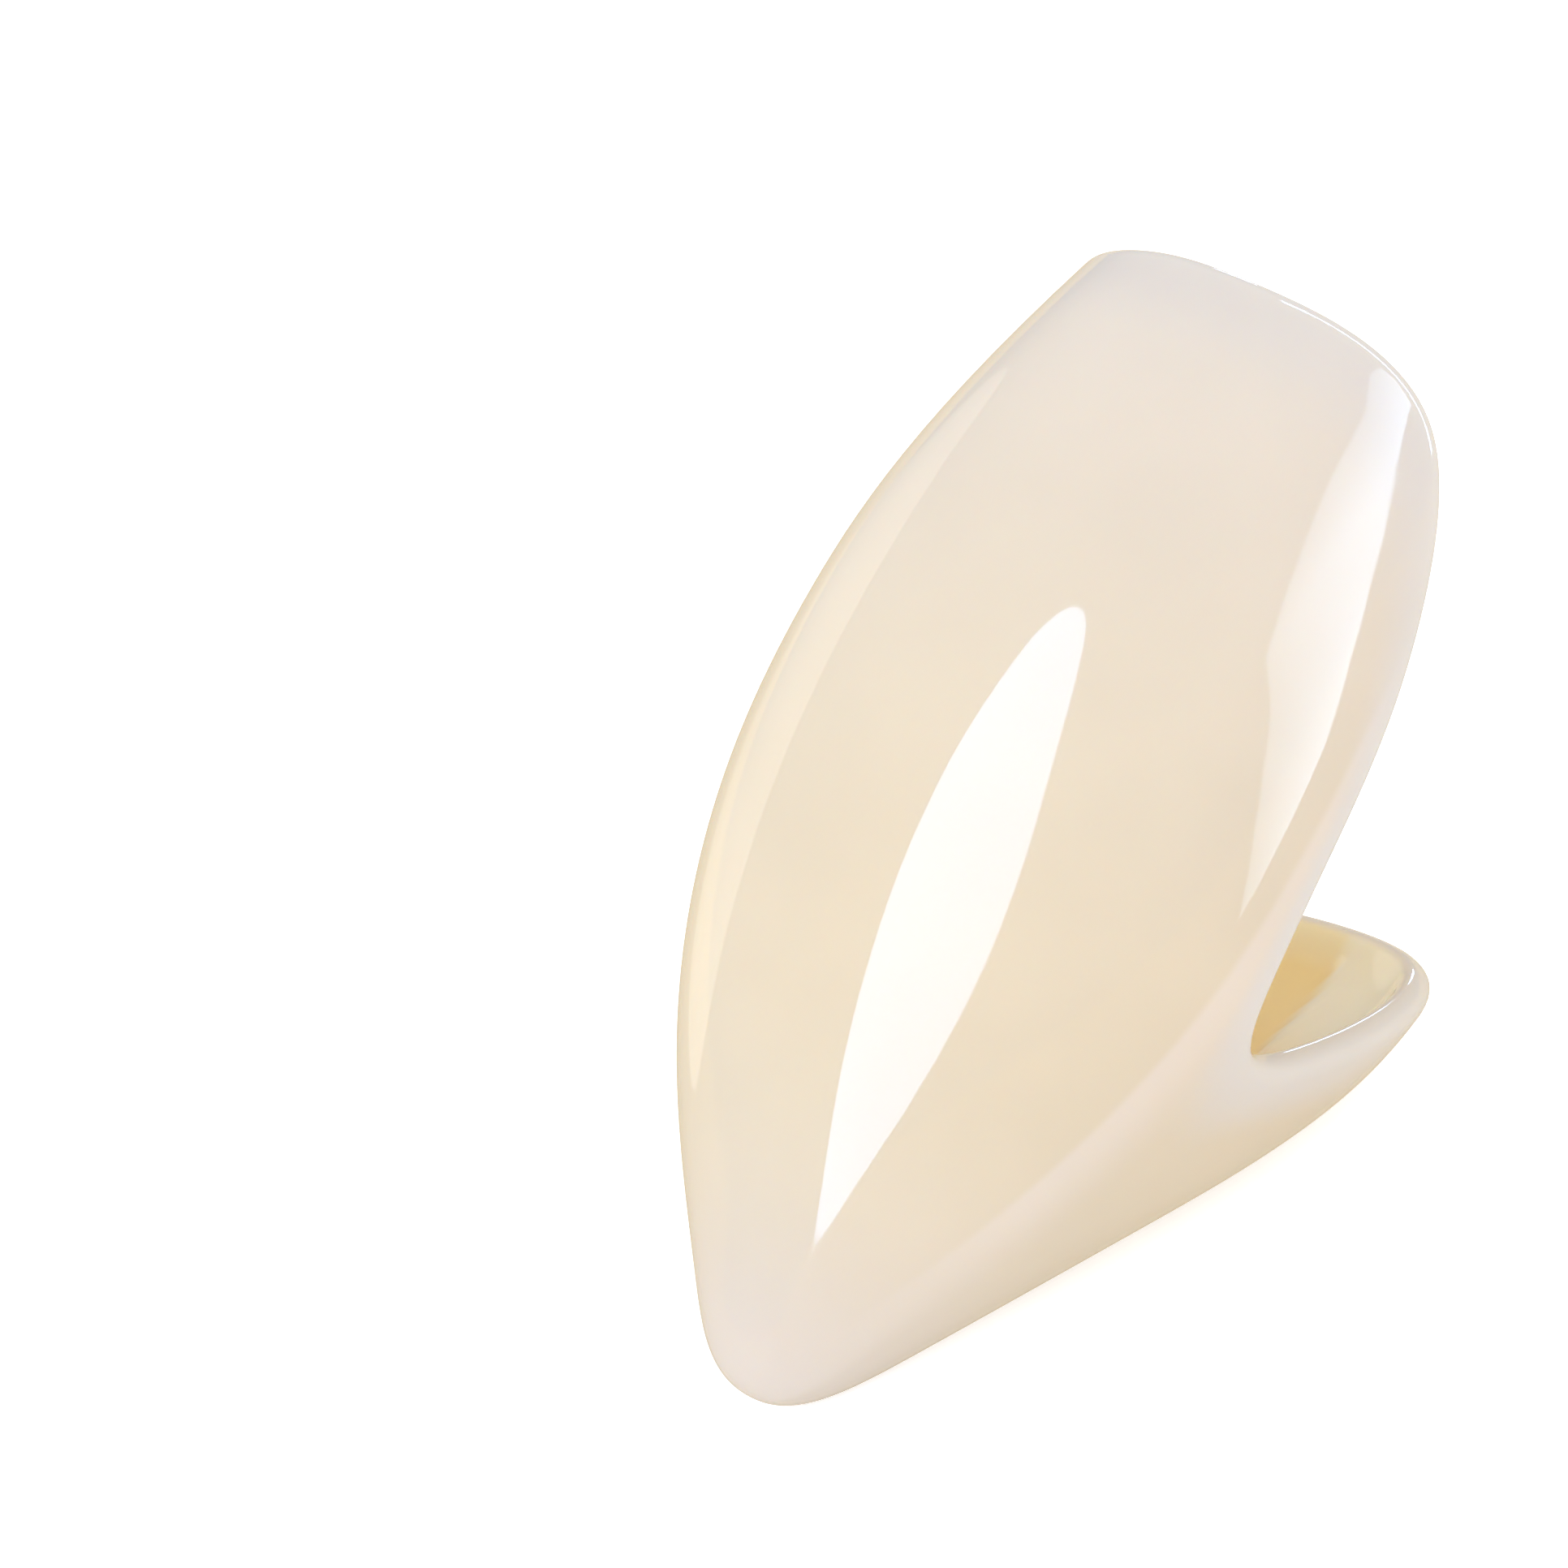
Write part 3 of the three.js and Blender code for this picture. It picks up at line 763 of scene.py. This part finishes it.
def trapped_light(tree, from_edge, body):
    """The inside of the socket, where light is trapped and turns amber. It does so in the
    channel and further down."""
    kept = add(tree, "ShaderNodeAttribute", attribute_name="inside").outputs["Fac"]
    feeds = {"Value": kept, "From Min": INSIDE_FROM}
    inside = add(tree, "ShaderNodeMapRange", feeds, interpolation_type="SMOOTHSTEP")
    inward = {}
    for name, (near, far) in (("begun", CHANNEL_TONE_BEGINS), ("deep", DEEP_RANGE)):
        feeds = {"Value": from_edge, "From Min": near * MM, "From Max": far * MM}
        inward[name] = add(tree, "ShaderNodeMapRange", feeds, interpolation_type="SMOOTHSTEP")
    hollowed = add(tree, "ShaderNodeAttribute", attribute_name="channel").outputs["Fac"]
    feeds = {0: hollowed, 1: inward["begun"]}
    in_channel = add(tree, "ShaderNodeMath", feeds, operation="MULTIPLY")
    feeds = {0: in_channel, 1: inward["deep"]}
    trapped = add(tree, "ShaderNodeMath", feeds, operation="MAXIMUM")
    feeds = {"Factor": trapped, "A": colour(INSIDE_TONE), "B": colour(TRAPPED_LIGHT_AMBER)}
    amber = add(tree, "ShaderNodeMix", feeds, data_type="RGBA")
    feeds = {"Factor": inside, "A": body, "B": amber}
    return add(tree, "ShaderNodeMix", feeds, data_type="RGBA")


def dental_acrylic():
    """Moulded, polished dental acrylic: a hard wet gloss over a cream body that light sinks into. Its
    colour has painted shade, warm where it is thick or in its own shade, and painted pale grey where it is
    thin."""
    material = bpy.data.materials.new("dental acrylic, moulded and polished")
    material.use_nodes = True
    tree = material.node_tree
    place = add(tree, "ShaderNodeTexCoord").outputs["Object"]
    raised = Matrix.Rotation(radians(-RESTING_ANGLE), 3, "X")
    standing = {"Vector": place, "Location": -(raised @ TIP), "Rotation": raised.to_euler()}
    upright = add(tree, "ShaderNodeMapping", standing)
    parts = add(tree, "ShaderNodeSeparateXYZ", {0: upright}).outputs
    from_edge = add(tree, "ShaderNodeAttribute", attribute_name="from_edge").outputs["Fac"]
    shaded = shade_behind(tree, parts, tones_up_tooth(tree, parts))
    whole = trapped_light(tree, from_edge, thin_edge(tree, from_edge, shaded))

    # Soft clouds in the body, as the moulded dough leaves them, a few millimetres across
    feeds = {"Vector": upright, "Scale": 1 / (CLOUD_SIZE * MM), "Detail": 2.0}
    clouds = add(tree, "ShaderNodeTexNoise", feeds)
    feeds = {"Value": clouds.outputs["Fac"], "From Min": CLOUD_RANGE[0], "From Max": CLOUD_RANGE[1]}
    feeds |= {"To Min": 1 - CLOUD_STRENGTH, "To Max": 1 + CLOUD_STRENGTH}
    cloud = add(tree, "ShaderNodeMapRange", feeds)
    body = add(tree, "ShaderNodeHueSaturation", {"Color": whole, "Value": cloud})

    # The polish leaves the faintest waves, under a hundredth of a millimetre deep
    feeds = {"Vector": upright, "Scale": 1 / (WAVE_SIZE * MM), "Detail": 1.0}
    waves = add(tree, "ShaderNodeTexNoise", feeds)
    feeds = {"Height": waves.outputs["Fac"], "Distance": WAVE_DEPTH * MM, "Strength": 1.0}
    bump = add(tree, "ShaderNodeBump", feeds)

    finish = {
        "Base Color": body,
        "Normal": bump,
        "Roughness": 0.045,
        "IOR": 1.49,
        "Subsurface Weight": 0.5,
        "Subsurface Scale": LIGHT_SINKS * MM,
        "Subsurface Radius": (1.0, 0.75, 0.45),
        "Coat Weight": 0.4,
        "Coat Roughness": 0.02,
    }
    feed(tree, tree.nodes["Principled BSDF"], finish)
    return material


FLOOR_REACH = 0.6  # metres from its middle to each side
FLOOR_TONE = "#FBFBFB"
FLOOR_SHINE = (0.08, 0.6)  # its own light, as the cap sees it and as the camera sees it


def pale_floor():
    """A plain pale floor for the cap to lie on, burnt out to white as in the photograph."""
    material = bpy.data.materials.new("pale studio floor")
    material.use_nodes = True
    tree = material.node_tree
    seen = add(tree, "ShaderNodeLightPath").outputs["Is Camera Ray"]
    faint, full = FLOOR_SHINE
    feeds = {"Value": seen, "To Min": faint, "To Max": full}
    finish = {
        "Base Color": colour(FLOOR_TONE),
        "Roughness": 0.9,
        "Emission Color": grey(1),
        "Emission Strength": add(tree, "ShaderNodeMapRange", feeds),
    }
    feed(tree, tree.nodes["Principled BSDF"], finish)
    mesh = bpy.data.meshes.new("floor")
    corners = [(-1, -1), (1, -1), (1, 1), (-1, 1)]
    places = [(x * FLOOR_REACH, y * FLOOR_REACH, 0) for x, y in corners]
    mesh.from_pydata(places, [], [(0, 1, 2, 3)])
    mesh.materials.append(material)
    floor = bpy.data.objects.new("floor", mesh)
    floor.visible_glossy = False  # in the gloss it would hide the feet of the boxes of light
    bpy.context.scene.collection.objects.link(floor)


# The camera stands where the photograph was taken from

CAMERA_PLACE = Vector((126.4, -94.1, 89.0)) * MM
CAMERA_AIM = Vector((-3.5, -0.63, 6.38)) * MM
CAMERA_UP = Vector((-0.198, 0.497, 0.845))
CAMERA_LENS = 286.4  # mm
FRAME_WIDTH = 36  # mm


def aimed(place, aim, up):
    """A placing that looks from a place at an aim, with up towards the top."""
    back = (place - aim).normalized()
    right = up.cross(back).normalized()
    turned = Matrix((right, back.cross(right), back)).transposed().to_4x4()
    return Matrix.Translation(place) @ turned


def set_camera():
    """The camera, with the photograph's view of the cap."""
    camera = bpy.data.objects.new("camera", bpy.data.cameras.new("camera"))
    bpy.context.scene.collection.objects.link(camera)
    camera.data.lens = CAMERA_LENS
    camera.data.sensor_width = FRAME_WIDTH
    camera.data.clip_start = 0.01
    camera.matrix_world = aimed(CAMERA_PLACE, CAMERA_AIM, CAMERA_UP)
    bpy.context.scene.camera = camera


LIGHT_DISTANCE = 0.4  # metres from the cap to each box
ROOM_GLOW = 0.97
ROOM_GLOW_IN_GLOSS = 0.42  # the far side of the room is greyer, which draws the edges
FLOOR_IN_GLOSS = "#E0D0B2"  # the gloss of the cap sees a warmer floor below it
BOX_COLOUR = "#B6D4FF"  # the blue of daylight, which the cream body turns to white

# The boxes of light. A box's left and right, foot and top are as seen from behind it, looking
# at the cap, and places on it are shares from 0 at its left or foot to 1 at its right or top.
# seen: the direction from the cap to it, as the camera sees it: right, up and towards it
# lean: how many degrees its long side turns from upright to the right
# width, length: shares of its distance
# lit: the part across it that glows, which is all of it where it isn't given
# glow: how strongly it glows at the left and right ends of its lit part
# foot, top: how far up its lit part begins and ends, at its left and right ends
# bend: how far up its lit part begins to run off to the right, and how steeply
# tint: its colour, where it isn't BOX_COLOUR
# lights: whether it shows in the gloss or lights the body
BOXES = [
    {
        "name": "main box",
        "seen": (-0.322, 0.024, 0.95),
        "lean": 33,
        "width": 0.74,
        "length": 1.68,
        "glow": (5.3, 4.9),
        "shape": "ELLIPSE",
        "lights": "gloss",
    },
    {
        "name": "right box",
        "seen": (0.873, 0.243, 0.423),
        "lean": -64,
        "width": 0.49,
        "length": 1.1,
        "lit": (0, 0.49),
        "foot": (0.07, 0.19),
        "top": (1, 0.86),
        "bend": (0.655, 1.95),
        "glow": (2.1, 6.4),
        "tint": "#C2DEFC",
        "shape": "RECTANGLE",
        "lights": "gloss",
    },
    {
        "name": "left box",
        "seen": (-0.68, 0.34, -0.65),
        "lean": 0,
        "width": 0.8,
        "length": 0.84,
        "glow": (0.15, 0.85),
        "tint": "#E8E2D6",
        "shape": "ELLIPSE",
        "lights": "gloss",
    },
    {
        "name": "rim strip",
        "seen": (0.66, 0.71, 0.1),
        "lean": -51,
        "width": 0.16,
        "length": 1.2,
        "glow": (12, 12),
        "shape": "RECTANGLE",
        "lights": "gloss",
    },
    {
        "name": "lip lamp",
        "seen": (0.16, 0.65, -0.74),
        "lean": 0,
        "width": 0.11,
        "length": 0.11,
        "glow": (8, 8),
        "shape": "ELLIPSE",
        "lights": "gloss",
    },
    {
        "name": "key",
        "seen": (-0.6, 0.5, 0.6),
        "lean": 0,
        "width": 1.5,
        "length": 1.5,
        "glow": (0.3, 0.3),
        "shape": "RECTANGLE",
        "lights": "body",
    },
]


def hang_box(box, as_seen):
    """One box of light, aimed at the cap, that glows only in its lit part."""
    light = bpy.data.lights.new(box["name"], "AREA")
    light.shape = box["shape"]
    light.size = box["width"] * LIGHT_DISTANCE
    light.size_y = box["length"] * LIGHT_DISTANCE
    light.energy = pi * light.size * light.size_y
    light.use_nodes = True
    tree = light.node_tree
    spot = add(tree, "ShaderNodeNewGeometry").outputs["Parametric"]
    spans = add(tree, "ShaderNodeSeparateXYZ", {0: spot}).outputs
    across = spans["X"]
    along = spans["Y"]

    # Past its bend the box runs off to the right, and its lit part goes with it
    bend_from, bend = box.get("bend", (1, 0))
    feeds = {0: along, 1: bend_from}
    past_bend = add(tree, "ShaderNodeMath", feeds, operation="SUBTRACT", use_clamp=True)
    feeds = {0: past_bend, 1: -bend, 2: across}
    unbent = add(tree, "ShaderNodeMath", feeds, operation="MULTIPLY_ADD")
    first, last = box.get("lit", (0, 1))
    feeds = {0: unbent, 1: (first + last) / 2, 2: (last - first) / 2}
    strength = add(tree, "ShaderNodeMath", feeds, operation="COMPARE")
    lines = {}
    for label, ends in (("glow", None), ("foot", (0, 0)), ("top", (1, 1))):
        left, right = box.get(label, ends)
        feeds = {"Value": unbent, "From Min": first, "From Max": last}
        feeds |= {"To Min": left, "To Max": right}
        lines[label] = add(tree, "ShaderNodeMapRange", feeds)
    above = add(tree, "ShaderNodeMath", {0: along, 1: lines["foot"]}, operation="GREATER_THAN")
    below = add(tree, "ShaderNodeMath", {0: along, 1: lines["top"]}, operation="LESS_THAN")
    for part in (lines["glow"], above, below):
        strength = add(tree, "ShaderNodeMath", {0: strength, 1: part}, operation="MULTIPLY")
    finish = {"Color": colour(box.get("tint", BOX_COLOUR)), "Strength": strength}
    feed(tree, tree.nodes["Emission"], finish)
    lamp = bpy.data.objects.new(box["name"], light)
    lamp.visible_diffuse = box["lights"] == "body"
    lamp.visible_glossy = box["lights"] == "gloss"
    bpy.context.scene.collection.objects.link(lamp)
    place = CAMERA_AIM + (as_seen @ Vector(box["seen"])).normalized() * LIGHT_DISTANCE
    lean = radians(box["lean"])
    lamp.matrix_world = aimed(place, CAMERA_AIM, as_seen @ Vector((sin(lean), cos(lean), 0)))


def set_lights():
    """A white room, a key that shapes the body, and boxes that show in its gloss."""
    world = bpy.data.worlds.new("white room")
    bpy.context.scene.world = world
    world.use_nodes = True
    tree = world.node_tree
    gloss = add(tree, "ShaderNodeLightPath").outputs["Is Glossy Ray"]
    direction = add(tree, "ShaderNodeTexCoord").outputs["Generated"]
    rise = add(tree, "ShaderNodeSeparateXYZ", {0: direction}).outputs["Z"]
    down = add(tree, "ShaderNodeMath", {0: rise, 1: 0}, operation="LESS_THAN")
    feeds = {"Factor": down, "A": grey(ROOM_GLOW_IN_GLOSS), "B": colour(FLOOR_IN_GLOSS)}
    reflected = add(tree, "ShaderNodeMix", feeds, data_type="RGBA")
    feeds = {"Factor": gloss, "A": grey(ROOM_GLOW), "B": reflected}
    room = add(tree, "ShaderNodeMix", feeds, data_type="RGBA")
    feed(tree, tree.nodes["Background"], {"Color": room, "Strength": 1})

    back = (CAMERA_PLACE - CAMERA_AIM).normalized()
    right = CAMERA_UP.cross(back).normalized()
    as_seen = Matrix((right, back.cross(right), back)).transposed()
    for box in BOXES:
        hang_box(box, as_seen)


set_camera()
make_cap(dental_acrylic())
pale_floor()
set_lights()
bpy.context.scene.view_settings.view_transform = "Standard"
